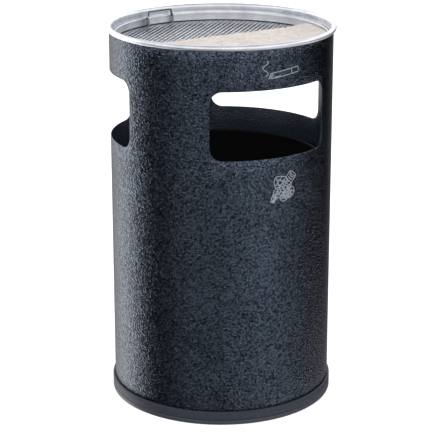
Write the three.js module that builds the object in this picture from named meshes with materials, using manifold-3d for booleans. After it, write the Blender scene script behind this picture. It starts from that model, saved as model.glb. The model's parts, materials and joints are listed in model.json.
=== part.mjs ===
// Free-standing ash bin: a round sheet-steel housing with three throw-in openings, an aluminium ash tray
// with a lift-out sieve and sand on top, and a removable liner bucket inside.
// Millimetres, +Z up. The origin is the centre of the floor face, and -Y is the front.
import * as THREE from 'three';
import { mergeVertices } from 'three/addons/utils/BufferGeometryUtils.js';
import Module from 'manifold-3d';

const wasm = await Module();
wasm.setup();

// Whole bin
const height = 618;
const bodyRadius = 180;
const sheet = 1.2;
const gap = 0.3;
const cutReach = 10;
const turns = 60;

// Rolled rim of the ash tray, which rests on the housing's top edge
const beadRadius = 4.35;
const rimRadius = 184.4;

// Base
const floorRingHeight = 7.5;
const bandTop = 22.5;
const bandRadius = 183.8;
const bandSheet = 1.6;
const plateUnderside = 9;
const flangeTop = 24;
const rivetLevel = 15.5;
const rivetShank = 1.6;
const rivetHead = 3.2;
const rivetHeadHeight = 1;
const rivetSides = 12;
const baseRivetAngles = [0, 60, 120, 180, 240, 300];

// Throw-in openings
const openings = [
  { middle: -90.9, angle: 67.3 },
  { middle: 31.7, angle: 70.2 },
  { middle: 153.4, angle: 70.2 },
];
const openingBottom = 438;
const openingTop = 546.5;
const openingCorner = 20;

// Printed pictogram films near the middle of the front
const filmThickness = 0.3;
const cigaretteFilm = { width: 76, across: 5, low: 556, high: 592 };
const litterFilm = { width: 66, across: 11, low: 360, high: 418 };

// Ash tray
const trayWall = 174.8;
const trayLedge = 170.6;
const ledgeLevel = 589;
const trayFloor = 573.2;
const trayBend = 4;

// Sieve, turned a little against the openings
const sieveTurn = 9.8;
const meshRadius = 172.1;
const meshUnderside = 589.5;
const meshThickness = 1;
const hoopSheet = 1;
const hoopTop = 604;

// Folding wire handle of the sieve
const handleRadius = 165;
const handleSpan = 51;
const handleHeight = 11;
const handleWire = 1.2;
const pivotLevel = 603.5;
const lugWidth = 9;
const lugSheet = 1.4;
const pivotHole = 1.6;

// Sand, which covers the front of the sieve
const sandEdge = 13;
const sandTurn = 4;
const sandTop = 596.5;
const sandMargin = 1;

// Liner bucket
const linerRadius = 162;
const linerSheet = 1;
const linerUnderside = plateUnderside + sheet + gap;
const linerTop = 400;
const linerBead = 2;
const earLevel = 380;
const earPlate = 2.4;
const earWidth = 30;
const earBelow = 18;
const earAbove = 8;
const earHole = 2.7;
const earRivetDrop = 10;
const earRivetReach = 8;
const earRivetHead = 3.4;
const bailRadius = 172;
const bailWire = 2.25;
const gripRadius = 4.8;
const gripAngle = 32;

const radians = THREE.MathUtils.degToRad;

const finish = {
  hammered: { color: 0x2b303b, roughness: 0.42, metalness: 0.35 },
  band: { color: 0x2e3340, roughness: 0.38, metalness: 0.35 },
  rubber: { color: 0x15161a, roughness: 0.7, metalness: 0 },
  print: { color: 0x8b919e, roughness: 0.6, metalness: 0 },
  aluminium: { color: 0xc9ccd0, roughness: 0.32, metalness: 1 },
  galvanised: { color: 0x9b9fa3, roughness: 0.45, metalness: 0.9 },
  sand: { color: 0xd8cdbb, roughness: 0.95, metalness: 0 },
  black: { color: 0x121316, roughness: 0.55, metalness: 0.2 },
  grip: { color: 0x1b1c1f, roughness: 0.5, metalness: 0 },
};

// Geometry helpers

// Welds a geometry's vertices by position and drops the triangles that this closes up, as at a pole.
function welded(geometry) {
  geometry.deleteAttribute('normal');
  geometry.deleteAttribute('uv');
  const whole = mergeVertices(geometry, 1e-4);
  const index = whole.index.array;
  const kept = [];
  for (let i = 0; i < index.length; i += 3) {
    const [a, b, c] = index.slice(i, i + 3);
    if (a !== b && b !== c && c !== a) {
      kept.push(a, b, c);
    }
  }
  whole.setIndex(kept);
  return whole;
}

function solidOf(geometry) {
  const whole = welded(geometry);
  const vertProperties = new Float32Array(whole.attributes.position.array);
  const triVerts = new Uint32Array(whole.index.array);
  return new wasm.Manifold(new wasm.Mesh({ numProp: 3, vertProperties, triVerts }));
}

function geometryOf(solid) {
  const mesh = solid.getMesh();
  const geometry = new THREE.BufferGeometry();
  geometry.setAttribute('position', new THREE.BufferAttribute(mesh.vertProperties, 3));
  geometry.setIndex(new THREE.BufferAttribute(mesh.triVerts, 1));
  return geometry;
}

function cut(body, tools) {
  let solid = solidOf(body);
  for (const tool of tools) {
    solid = solid.subtract(solidOf(tool));
  }
  return geometryOf(solid);
}

function join(pieces) {
  let solid = solidOf(pieces[0]);
  for (const piece of pieces.slice(1)) {
    solid = solid.add(solidOf(piece));
  }
  return geometryOf(solid);
}

// A profile of [radius, level] points, anticlockwise, turned about Z.
function turned(profile) {
  const points = profile.map(([radius, level]) => new THREE.Vector2(radius, level));
  return welded(new THREE.LatheGeometry(points, turns).rotateX(Math.PI / 2));
}

function ringProfile(inner, outer, low, high) {
  return [[inner, low], [outer, low], [outer, high], [inner, high], [inner, low]];
}

// Points along an arc of a profile, from one angle to another in degrees.
function arc(centreRadius, centreLevel, radius, from, to, steps) {
  const points = [];
  for (let i = 0; i <= steps; i += 1) {
    const angle = radians(from + (to - from) * i / steps);
    points.push([centreRadius + radius * Math.cos(angle), centreLevel + radius * Math.sin(angle)]);
  }
  return points;
}

// A closed solid through a row of equal loops of points, with flat ends.
function lofted(loops) {
  const size = loops[0].length;
  const positions = loops.flat(2);
  const index = [];
  for (let i = 0; i + 1 < loops.length; i += 1) {
    for (let k = 0; k < size; k += 1) {
      const a = i * size + k;
      const b = i * size + (k + 1) % size;
      index.push(a, b, b + size, a, b + size, a + size);
    }
  }
  const last = (loops.length - 1) * size;
  for (let k = 1; k + 1 < size; k += 1) {
    index.push(0, k + 1, k, last, last + k, last + k + 1);
  }
  const geometry = new THREE.BufferGeometry();
  geometry.setAttribute('position', new THREE.Float32BufferAttribute(positions, 3));
  geometry.setIndex(index);
  return geometry;
}

// A loop of four points across a wall at one angle, between two radii and two levels.
function wallSection(angle, inner, outer, low, high) {
  const x = Math.cos(radians(angle));
  const y = Math.sin(radians(angle));
  return [
    [inner * x, inner * y, low],
    [inner * x, inner * y, high],
    [outer * x, outer * y, high],
    [outer * x, outer * y, low],
  ];
}

function cylinderAlongX(radius, from, to, sides) {
  const rod = new THREE.CylinderGeometry(radius, radius, to - from, sides);
  return rod.rotateZ(Math.PI / 2).translate((from + to) / 2, 0, 0);
}

// A wire of eight sides along a curve.
function wireAlong(path, radius, steps) {
  const section = new THREE.Shape();
  section.absarc(0, 0, radius, 0, 2 * Math.PI);
  const options = { extrudePath: path, steps, curveSegments: 4 };
  return welded(new THREE.ExtrudeGeometry(section, options));
}

function named(name, geometry, look) {
  const mesh = new THREE.Mesh(geometry, new THREE.MeshStandardMaterial(look));
  mesh.name = name;
  return mesh;
}

// Housing

// The sector that is punched out of the sheet, with its corners rounded on the sheet itself.
function openingCutter(opening) {
  const half = opening.angle / 2;
  const cornerAngle = THREE.MathUtils.radToDeg(openingCorner / bodyRadius);
  const cornerSteps = 6;
  const spanSteps = 16;
  const loops = [];
  const addLoop = (angle, inset) => {
    const low = openingBottom + inset;
    const high = openingTop - inset;
    loops.push(wallSection(opening.middle + angle, bodyRadius - cutReach, bodyRadius + cutReach, low, high));
  };
  for (let i = 0; i <= cornerSteps; i += 1) {
    const t = radians(90 * i / cornerSteps);
    addLoop(-half + cornerAngle * (1 - Math.cos(t)), openingCorner * (1 - Math.sin(t)));
  }
  for (let i = 1; i < spanSteps; i += 1) {
    addLoop((half - cornerAngle) * (2 * i / spanSteps - 1), 0);
  }
  for (let i = cornerSteps; i >= 0; i -= 1) {
    const t = radians(90 * i / cornerSteps);
    addLoop(half - cornerAngle * (1 - Math.cos(t)), openingCorner * (1 - Math.sin(t)));
  }
  return lofted(loops);
}

function baseRivetHoles(radius) {
  return baseRivetAngles.map((angle) => cylinderAlongX(radius, bodyRadius - cutReach, bodyRadius + cutReach, rivetSides)
    .rotateZ(radians(angle))
    .translate(0, 0, rivetLevel));
}

function bodyShell() {
  const top = height - 2 * beadRadius - gap;
  const tube = turned(ringProfile(bodyRadius - sheet, bodyRadius, floorRingHeight + gap, top));
  const holes = baseRivetHoles(rivetShank + gap);
  return named('body_shell', cut(tube, [...openings.map(openingCutter), ...holes]), finish.hammered);
}

// A pressed channel round the foot of the shell, with a rounded shoulder.
function baseBand() {
  const inner = bodyRadius + gap;
  const wallInner = bandRadius - bandSheet;
  const shoulder = 2.4;
  const lipUnderside = bandTop - bandSheet;
  const profile = [
    [wallInner, floorRingHeight + gap],
    [bandRadius, floorRingHeight + gap],
    ...arc(bandRadius - shoulder, bandTop - shoulder, shoulder, 0, 90, 3),
    [inner, bandTop],
    [inner, lipUnderside],
    [wallInner, lipUnderside],
    [wallInner, floorRingHeight + gap],
  ];
  return named('base_band', turned(profile), finish.band);
}

// The bottom, a shallow dish whose flange is riveted to the shell.
function basePlate() {
  const outer = bodyRadius - sheet - gap;
  const dish = turned([
    [0, plateUnderside],
    [outer, plateUnderside],
    [outer, flangeTop],
    [outer - sheet, flangeTop],
    [outer - sheet, plateUnderside + sheet],
    [0, plateUnderside + sheet],
  ]);
  return named('base_plate', cut(dish, baseRivetHoles(rivetShank + gap)), finish.band);
}

function baseRivet(angle, number) {
  const flangeInner = bodyRadius - 2 * sheet - gap;
  const outerFace = bodyRadius + gap;
  const rivet = join([
    cylinderAlongX(rivetShank, flangeInner - gap - rivetHeadHeight, outerFace + rivetHeadHeight, rivetSides),
    cylinderAlongX(rivetHead, outerFace, outerFace + rivetHeadHeight, rivetSides),
    cylinderAlongX(rivetHead, flangeInner - gap - rivetHeadHeight, flangeInner - gap, rivetSides),
  ]);
  const mesh = named(`base_rivet_${number}`, rivet, finish.galvanised);
  mesh.rotation.z = radians(angle);
  mesh.position.z = rivetLevel;
  return mesh;
}

// A soft ring that protects the floor, with a lip round the outside of the shell's lower edge.
function floorRing() {
  const inner = 172;
  const edge = 1.5;
  const profile = [
    [inner, 0],
    ...arc(bandRadius - edge, edge, edge, -90, 0, 3),
    [bandRadius, floorRingHeight],
    [inner, floorRingHeight],
    [inner, 0],
  ];
  return named('floor_ring', turned(profile), finish.rubber);
}

// A thin printed film that lies round the shell, a little to the right of the front's middle.
function pictogramFilm(name, film) {
  const inner = bodyRadius + gap;
  const half = THREE.MathUtils.radToDeg(film.width / 2 / bodyRadius);
  const middle = -90 + THREE.MathUtils.radToDeg(film.across / bodyRadius);
  const steps = 8;
  const loops = [];
  for (let i = 0; i <= steps; i += 1) {
    const angle = middle - half + 2 * half * i / steps;
    loops.push(wallSection(angle, inner, inner + filmThickness, film.low, film.high));
  }
  return named(name, lofted(loops), finish.print);
}

function housing() {
  const group = new THREE.Group();
  group.add(bodyShell(), baseBand(), basePlate(), floorRing());
  group.add(...baseRivetAngles.map((angle, i) => baseRivet(angle, i + 1)));
  group.add(pictogramFilm('cigarette_pictogram', cigaretteFilm));
  group.add(pictogramFilm('litter_pictogram', litterFilm));
  return group;
}

// Ash tray

// A spun pan: rolled rim, plain wall, a ledge for the sieve and a flat floor.
function ashTray() {
  const rimCentre = rimRadius - beadRadius;
  const rimLevel = height - beadRadius;
  const beadStart = 200;
  const beadEnd = 512;
  const profile = [
    [0, trayFloor - sheet],
    [trayLedge + sheet - trayBend, trayFloor - sheet],
    ...arc(trayLedge + sheet - trayBend, trayFloor - sheet + trayBend, trayBend, -60, 0, 2),
    [trayLedge + sheet, ledgeLevel - sheet],
    [trayWall + sheet, ledgeLevel - sheet],
    ...arc(rimCentre, rimLevel, beadRadius, beadStart, beadEnd, 10),
    [trayWall, ledgeLevel],
    [trayLedge, ledgeLevel],
    ...arc(trayLedge - trayBend + sheet, trayFloor + trayBend - sheet, trayBend - sheet, 0, -60, 2),
    [trayLedge + sheet - trayBend, trayFloor],
    [0, trayFloor],
  ];
  return named('ash_tray', turned(profile), finish.aluminium);
}

// The part of a round bed in front of the straight edge where the sand stops.
function sandShape(radius) {
  const edgeAngle = Math.asin(sandEdge / radius);
  const shape = new THREE.Shape();
  shape.absarc(0, 0, radius, Math.PI - edgeAngle, 2 * Math.PI + edgeAngle);
  shape.closePath();
  return shape;
}

function sandLayer(radius, low, high) {
  const options = { depth: high - low, bevelEnabled: false, curveSegments: 48 };
  return new THREE.ExtrudeGeometry(sandShape(radius), options).rotateZ(radians(sandTurn)).translate(0, 0, low);
}

function sandBed() {
  const layer = sandLayer(trayLedge - trayBend, trayFloor + gap, meshUnderside - gap);
  return named('sand_bed', welded(layer), finish.sand);
}

function sandCover() {
  const low = meshUnderside + meshThickness + gap;
  return named('sand_cover', welded(sandLayer(meshRadius - sandMargin, low, sandTop)), finish.sand);
}

// Sieve

function sieveMesh() {
  const top = meshUnderside + meshThickness;
  const profile = [[0, meshUnderside], [meshRadius, meshUnderside], [meshRadius, top], [0, top]];
  return named('sieve_mesh', turned(profile), finish.galvanised);
}

function sieveHoop() {
  const inner = meshRadius + gap;
  const profile = ringProfile(inner, inner + hoopSheet, ledgeLevel + gap, hoopTop);
  return named('sieve_hoop', turned(profile), finish.aluminium);
}

// An upright tab with a round top and a hole for the handle's end.
function lug(name, side) {
  const low = meshUnderside + meshThickness + gap - pivotLevel;
  const half = lugWidth / 2;
  const outline = new THREE.Shape();
  outline.moveTo(-half, low);
  outline.lineTo(half, low);
  outline.absarc(0, 0, half, 0, Math.PI);
  outline.closePath();
  const hole = new THREE.Path();
  hole.absarc(0, 0, pivotHole, 0, 2 * Math.PI, true);
  outline.holes.push(hole);
  const options = { depth: lugSheet, bevelEnabled: false, curveSegments: 6 };
  const plate = new THREE.ExtrudeGeometry(outline, options).translate(0, 0, -lugSheet / 2);
  plate.rotateZ(Math.PI / 2).rotateY(Math.PI / 2);
  const mesh = named(name, welded(plate), finish.galvanised);
  mesh.position.set(side * handleSpan / 2, 0, pivotLevel);
  return mesh;
}

// A wire bent to a low bracket, whose ends turn out through the lugs.
function handleWirePath() {
  const bend = 3;
  const leg = handleSpan / 2 - lugSheet / 2 - gap - handleWire;
  const end = handleSpan / 2 + lugSheet / 2 + 1.6;
  const path = new THREE.CurvePath();
  const point = (x, z) => new THREE.Vector3(x, 0, z);
  const straight = (a, b) => path.add(new THREE.LineCurve3(a, b));
  const corner = (a, b, c) => path.add(new THREE.QuadraticBezierCurve3(a, b, c));
  const foot = 1.5;
  straight(point(-end, 0), point(-leg - foot, 0));
  corner(point(-leg - foot, 0), point(-leg, 0), point(-leg, foot));
  straight(point(-leg, foot), point(-leg, handleHeight - bend));
  corner(point(-leg, handleHeight - bend), point(-leg, handleHeight), point(-leg + bend, handleHeight));
  straight(point(-leg + bend, handleHeight), point(leg - bend, handleHeight));
  corner(point(leg - bend, handleHeight), point(leg, handleHeight), point(leg, handleHeight - bend));
  straight(point(leg, handleHeight - bend), point(leg, foot));
  corner(point(leg, foot), point(leg, 0), point(leg + foot, 0));
  straight(point(leg + foot, 0), point(end, 0));
  return path;
}

function sieveHandle() {
  const bail = named('rear_handle_bail', wireAlong(handleWirePath(), handleWire, 40), finish.galvanised);
  bail.position.z = pivotLevel;
  const group = new THREE.Group();
  group.add(bail, lug('rear_handle_lug_left', -1), lug('rear_handle_lug_right', 1));
  group.position.y = handleRadius;
  const arm = new THREE.Group();
  arm.add(group);
  arm.rotation.z = radians(sieveTurn);
  return arm;
}

function tray() {
  const group = new THREE.Group();
  group.add(ashTray(), sandBed(), sandCover(), sieveMesh(), sieveHoop(), sieveHandle());
  return group;
}

// Liner bucket

function linerWall() {
  const inner = linerRadius - linerSheet;
  const rimCentre = linerRadius - linerSheet + linerBead;
  const profile = [
    [inner, linerUnderside],
    [linerRadius, linerUnderside],
    ...arc(rimCentre, linerTop - linerBead, linerBead, -120, 180, 6),
    [inner, linerUnderside],
  ];
  const holes = earRivetPlaces().map(([x, y, z]) => cylinderAlongX(rivetShank + gap, -cutReach, cutReach, rivetSides)
    .translate(x, y, z));
  return named('liner_wall', cut(turned(profile), holes), finish.black);
}

// A pressed-in bottom with a low flange.
function linerBottom() {
  const outer = linerRadius - linerSheet - gap;
  const flange = 12;
  const profile = [
    [0, linerUnderside],
    [outer, linerUnderside],
    [outer, linerUnderside + flange],
    [outer - linerSheet, linerUnderside + flange],
    [outer - linerSheet, linerUnderside + linerSheet],
    [0, linerUnderside + linerSheet],
  ];
  return named('liner_bottom', turned(profile), finish.black);
}

function earRivetPlaces() {
  const places = [];
  for (const side of [-1, 1]) {
    for (const reach of [-earRivetReach, earRivetReach]) {
      places.push([side * linerRadius, reach, earLevel - earRivetDrop]);
    }
  }
  return places;
}

// A flat ear outside the wall. The handle's end turns in its hole.
function linerEar(name, side) {
  const inner = linerRadius + gap;
  const half = earWidth / 2;
  const round = 7;
  const outline = new THREE.Shape();
  outline.moveTo(-half + round, -earBelow);
  outline.lineTo(half - round, -earBelow);
  outline.absarc(half - round, -earBelow + round, round, -Math.PI / 2, 0);
  outline.absarc(0, 0, earAbove, 0, Math.PI);
  outline.absarc(-half + round, -earBelow + round, round, Math.PI, 1.5 * Math.PI);
  outline.closePath();
  const addHole = (y, z, radius) => {
    const hole = new THREE.Path();
    hole.absarc(y, z, radius, 0, 2 * Math.PI, true);
    outline.holes.push(hole);
  };
  addHole(0, 0, earHole);
  addHole(-earRivetReach, -earRivetDrop, rivetShank + gap);
  addHole(earRivetReach, -earRivetDrop, rivetShank + gap);
  const options = { depth: earPlate, bevelEnabled: false, curveSegments: 8 };
  const plate = new THREE.ExtrudeGeometry(outline, options);
  plate.rotateZ(Math.PI / 2).rotateY(Math.PI / 2).translate(inner, 0, 0);
  const mesh = named(name, welded(plate), finish.black);
  mesh.rotation.z = side > 0 ? 0 : Math.PI;
  mesh.position.z = earLevel;
  return mesh;
}

function earRivet(name, side, reach) {
  const wallInner = linerRadius - linerSheet - 2 * gap;
  const plateOuter = linerRadius + earPlate + 2 * gap;
  const rivet = join([
    cylinderAlongX(rivetShank, wallInner - rivetHeadHeight, plateOuter + rivetHeadHeight, rivetSides),
    cylinderAlongX(earRivetHead, plateOuter, plateOuter + rivetHeadHeight, rivetSides),
    cylinderAlongX(earRivetHead, wallInner - rivetHeadHeight, wallInner, rivetSides),
  ]);
  const mesh = named(name, rivet, finish.galvanised);
  mesh.position.set(0, reach, earLevel - earRivetDrop);
  const arm = new THREE.Group();
  arm.rotation.z = side > 0 ? 0 : Math.PI;
  arm.add(mesh);
  return arm;
}

// Half a ring of wire that lies round the front of the bucket, with its ends turned in to the ears.
function linerBail() {
  const endInner = linerRadius + 2 * gap;
  const bend = 5;
  const turnIn = 2;
  const path = new THREE.CurvePath();
  const onRing = (angle) => new THREE.Vector3(
    bailRadius * Math.cos(radians(angle)),
    bailRadius * Math.sin(radians(angle)),
    0,
  );
  const start = onRing(180 + turnIn);
  const end = onRing(360 - turnIn);
  const left = new THREE.Vector3(-bailRadius + bend, 0, 0);
  const right = new THREE.Vector3(bailRadius - bend, 0, 0);
  const outerLeft = new THREE.Vector3(-bailRadius, 0, 0);
  const outerRight = new THREE.Vector3(bailRadius, 0, 0);
  path.add(new THREE.LineCurve3(new THREE.Vector3(-endInner, 0, 0), left));
  path.add(new THREE.QuadraticBezierCurve3(left, outerLeft, start));
  const ring = new THREE.EllipseCurve(0, 0, bailRadius, bailRadius, radians(180 + turnIn), radians(360 - turnIn));
  const ringPoints = ring.getPoints(60).map((p) => new THREE.Vector3(p.x, p.y, 0));
  for (let i = 0; i + 1 < ringPoints.length; i += 1) {
    path.add(new THREE.LineCurve3(ringPoints[i], ringPoints[i + 1]));
  }
  path.add(new THREE.QuadraticBezierCurve3(end, outerRight, right));
  path.add(new THREE.LineCurve3(right, new THREE.Vector3(endInner, 0, 0)));
  const bail = named('liner_bail', wireAlong(path, bailWire, 56), finish.galvanised);
  bail.position.z = earLevel;
  return bail;
}

// A plastic sleeve round the middle of the bail.
function bailGrip() {
  const sides = 12;
  const steps = 8;
  const bore = bailWire + gap + 0.2;
  const sleeve = (radius, reach) => {
    const loops = [];
    for (let i = 0; i <= steps; i += 1) {
      const turn = radians(-90 - reach / 2 + reach * i / steps);
      const loop = [];
      for (let k = 0; k < sides; k += 1) {
        const around = 2 * Math.PI * k / sides;
        const out = bailRadius + radius * Math.cos(around);
        loop.push([out * Math.cos(turn), out * Math.sin(turn), radius * Math.sin(around)]);
      }
      loops.push(loop.reverse());
    }
    return lofted(loops);
  };
  const grip = named('bail_grip', cut(sleeve(gripRadius, gripAngle), [sleeve(bore, gripAngle + 4)]), finish.grip);
  grip.position.z = earLevel;
  return grip;
}

function liner() {
  const group = new THREE.Group();
  group.add(linerWall(), linerBottom(), linerBail(), bailGrip());
  for (const [place, side] of [['left', -1], ['right', 1]]) {
    group.add(linerEar(`liner_ear_${place}`, side));
    group.add(earRivet(`ear_rivet_${place}_1`, side, -earRivetReach));
    group.add(earRivet(`ear_rivet_${place}_2`, side, earRivetReach));
  }
  return group;
}

const bin = new THREE.Group();
bin.add(housing(), tray(), liner());

export default bin;
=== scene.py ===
import bmesh
import bpy
import json
import math
from mathutils import Matrix, Vector, noise


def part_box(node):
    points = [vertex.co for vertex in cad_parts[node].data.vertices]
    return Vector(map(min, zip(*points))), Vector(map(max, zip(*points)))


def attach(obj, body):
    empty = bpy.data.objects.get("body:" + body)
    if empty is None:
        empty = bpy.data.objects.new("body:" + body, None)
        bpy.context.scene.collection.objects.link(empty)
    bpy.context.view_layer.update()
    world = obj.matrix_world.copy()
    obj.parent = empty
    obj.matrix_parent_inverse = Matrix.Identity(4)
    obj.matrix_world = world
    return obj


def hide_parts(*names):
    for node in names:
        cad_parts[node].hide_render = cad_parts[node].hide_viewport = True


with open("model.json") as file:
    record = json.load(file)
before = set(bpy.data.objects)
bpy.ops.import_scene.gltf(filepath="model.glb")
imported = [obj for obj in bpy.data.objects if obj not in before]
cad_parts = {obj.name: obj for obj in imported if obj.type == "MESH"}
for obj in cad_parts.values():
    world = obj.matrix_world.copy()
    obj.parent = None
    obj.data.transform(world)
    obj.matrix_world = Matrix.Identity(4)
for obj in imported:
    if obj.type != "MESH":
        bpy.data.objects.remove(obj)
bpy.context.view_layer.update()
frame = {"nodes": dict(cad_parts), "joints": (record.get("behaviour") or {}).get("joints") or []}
mm = 0.001


def linear(hexText):
    parts = [int(hexText[i:i + 2], 16) / 255 for i in (1, 3, 5)]
    curve = [p / 12.92 if p <= 0.04045 else ((p + 0.055) / 1.055) ** 2.4 for p in parts]
    return (*curve, 1.0)


def addNode(tree, kind, settings=None, inputs=None):
    node = tree.nodes.new(kind)
    for name, value in (settings or {}).items():
        setattr(node, name, value)
    for name, value in (inputs or {}).items():
        if isinstance(value, bpy.types.Node):
            value = value.outputs[0]           # a node stands for its first output
        if isinstance(value, bpy.types.NodeSocket):
            tree.links.new(value, node.inputs[name])
        else:
            node.inputs[name].default_value = value
    return node


def newMaterial(name, inputs):
    material = bpy.data.materials.new(name)
    material.use_nodes = True
    tree = material.node_tree
    shader = tree.nodes["Principled BSDF"]
    for socket, value in inputs.items():
        shader.inputs[socket].default_value = value
    return material, tree, shader


def finishSurface(shader, colour, pattern, roughRange, relief, depth):
    # Most finishes end the same way: a colour, a roughness that follows a pattern, and a relief.
    tree = shader.id_data
    rough = addNode(tree, "ShaderNodeMapRange", None,
                    {"Value": pattern, "To Min": roughRange[0], "To Max": roughRange[1]})
    bump = addNode(tree, "ShaderNodeBump", None, {"Height": relief, "Distance": depth})
    tree.links.new(colour, shader.inputs["Base Color"])
    tree.links.new(rough.outputs["Result"], shader.inputs["Roughness"])
    tree.links.new(bump.outputs["Normal"], shader.inputs["Normal"])


def rampColours(node, stops):
    ramp = node.color_ramp
    while len(ramp.elements) < len(stops):
        ramp.elements.new(0.5)
    for element, (position, colour) in zip(ramp.elements, stops):
        element.position = position
        element.color = colour


def finishMesh(piece, material, sharpAngle=35):
    piece.data.materials.clear()
    piece.data.materials.append(material)
    piece.data.shade_smooth()
    piece.data.set_sharp_from_angle(angle=math.radians(sharpAngle))
    return piece


def objectFrom(name, shape, material):
    data = bpy.data.meshes.new(name)
    shape.to_mesh(data)
    shape.free()
    piece = bpy.data.objects.new(name, data)
    bpy.context.scene.collection.objects.link(piece)
    return finishMesh(piece, material)


def applied(piece, material):
    # The evaluated shape becomes the piece's own mesh, so no modifier is left.
    graph = bpy.context.evaluated_depsgraph_get()
    mesh = bpy.data.meshes.new_from_object(piece.evaluated_get(graph))
    piece.modifiers.clear()
    piece.data = mesh
    return finishMesh(piece, material)


def settle(piece, body, slot, *replaced):
    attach(piece, body)
    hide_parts(*replaced)


def arcPoints(centre, radius, start, end, steps):
    angles = [math.radians(start + (end - start) * i / steps) for i in range(steps + 1)]
    return [(centre[0] + radius * math.cos(a), centre[1] + radius * math.sin(a)) for a in angles]


def rounded(points, radius, steps=4):
    # Replaces each inner corner of a path by a small round bend.
    path = [points[0]]
    for before, corner, after in zip(points, points[1:], points[2:]):
        here = Vector(corner)
        toBefore = Vector(before) - here
        toAfter = Vector(after) - here
        reach = min(radius, toBefore.length * 0.45, toAfter.length * 0.45)
        start = here + toBefore.normalized() * reach
        end = here + toAfter.normalized() * reach
        for i in range(steps + 1):
            t = i / steps
            path.append(tuple(start * (1 - t) ** 2 + here * 2 * t * (1 - t) + end * t ** 2))
    path.append(points[-1])
    return path


def sheetOutline(path, thickness):
    # The closed outline of bent sheet whose middle follows the path; its right side comes first.
    sides = ([], [])
    for i, point in enumerate(path):
        along = Vector(path[min(i + 1, len(path) - 1)]) - Vector(path[max(i - 1, 0)])
        across = Vector((along.y, -along.x)).normalized() * thickness / 2
        sides[0].append(tuple(Vector(point) + across))
        sides[1].append(tuple(Vector(point) - across))
    return sides[0] + sides[1][::-1]


def turned(name, profile, material, segments=192):
    # Turns an anticlockwise outline of (radius, level) about the bin's axis.
    shape = bmesh.new()
    rings = []
    for radius, level in profile:
        if radius < 1e-6:
            rings.append([shape.verts.new((0, 0, level))])
            continue
        angles = [2 * math.pi * k / segments for k in range(segments)]
        rings.append([shape.verts.new((radius * math.cos(a), radius * math.sin(a), level)) for a in angles])
    closesOnItself = all(len(ring) > 1 for ring in rings)
    pairs = list(zip(rings, rings[1:]))
    if closesOnItself:
        pairs.append((rings[-1], rings[0]))
    for low, high in pairs:
        if len(low) == len(high) == 1:
            continue
        for k in range(segments):
            n = (k + 1) % segments
            corners = [low[k % len(low)], low[n % len(low)], high[n % len(high)], high[k % len(high)]]
            shape.faces.new(list(dict.fromkeys(corners)))
    return objectFrom(name, shape, material)


def nodeTree(name, sizes):
    tree = bpy.data.node_groups.new(name, "GeometryNodeTree")
    for label, (kind, value) in sizes.items():
        socket = tree.interface.new_socket(label, in_out="INPUT", socket_type=kind)
        if value is not None:
            socket.default_value = value
    tree.interface.new_socket("Geometry", in_out="OUTPUT", socket_type="NodeSocketGeometry")
    return tree, addNode(tree, "NodeGroupInput")


def endTree(tree, geometry):
    whole = addNode(tree, "GeometryNodeRealizeInstances", None, {"Geometry": geometry})
    source = tree.nodes["Group Input"].outputs["Material"]
    coated = addNode(tree, "GeometryNodeSetMaterial", None, {"Geometry": whole, "Material": source})
    addNode(tree, "NodeGroupOutput", None, {"Geometry": coated})


def grown(name, tree, values, material, sharpAngle=35):
    # Runs a node tree on an empty mesh and keeps what it makes.
    piece = bpy.data.objects.new(name, bpy.data.meshes.new(name))
    bpy.context.scene.collection.objects.link(piece)
    modifier = piece.modifiers.new(name, "NODES")
    modifier.node_group = tree
    identifiers = {item.name: item.identifier for item in tree.interface.items_tree if item.in_out == "INPUT"}
    for label, value in {**values, "Material": material}.items():
        modifier[identifiers[label]] = value
    bpy.context.view_layer.update()
    applied(piece, material)
    return finishMesh(piece, material, sharpAngle)


viewCamera = {
    "turn": -31.2,                     # degrees from the bin's front
    "distance": 2.582,                 # metres
    "sideways": 0.1116,
    "eyeLevel": 1.1143,
    "focalLength": 133.7,              # mm
    "aim": (-0.044, -0.3203),          # right and up, for each metre ahead
}


def makeCamera(values):
    # A plain camera that looks down at the bin, so its sides draw together a little towards the floor.
    turn = math.radians(values["turn"])
    right = Vector((math.cos(turn), math.sin(turn), 0))
    ahead = Vector((-math.sin(turn), math.cos(turn), 0))
    up = Vector((0, 0, 1))
    aim = ahead + right * values["aim"][0] + up * values["aim"][1]
    data = bpy.data.cameras.new("camera")
    data.sensor_width = 36
    data.lens = values["focalLength"]
    camera = bpy.data.objects.new("camera", data)
    camera.location = right * values["sideways"] - ahead * values["distance"] + up * values["eyeLevel"]
    camera.rotation_euler = aim.to_track_quat("-Z", "Y").to_euler()
    bpy.context.scene.collection.objects.link(camera)
    bpy.context.scene.camera = camera


makeCamera(viewCamera)
print("camera placed")


hammeredCoat = {
    "dark": "#12161c",
    "flake": "#555e6d",
    "dimple": 2.5,                     # mm across a dimple
    "dimpleDepth": 0.7,                # mm, drawn deeper than the real ones so that they show from far off
    "inside": "#3c4453",               # the wall's inner face, painted lighter as painted light coming in through the openings
    "innerRadius": 179.4,              # mm
    "drift": 60,                       # mm, slow change of tone
    "seamWidth": 2.2,                  # mm, the ground weld at the back
}


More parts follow.
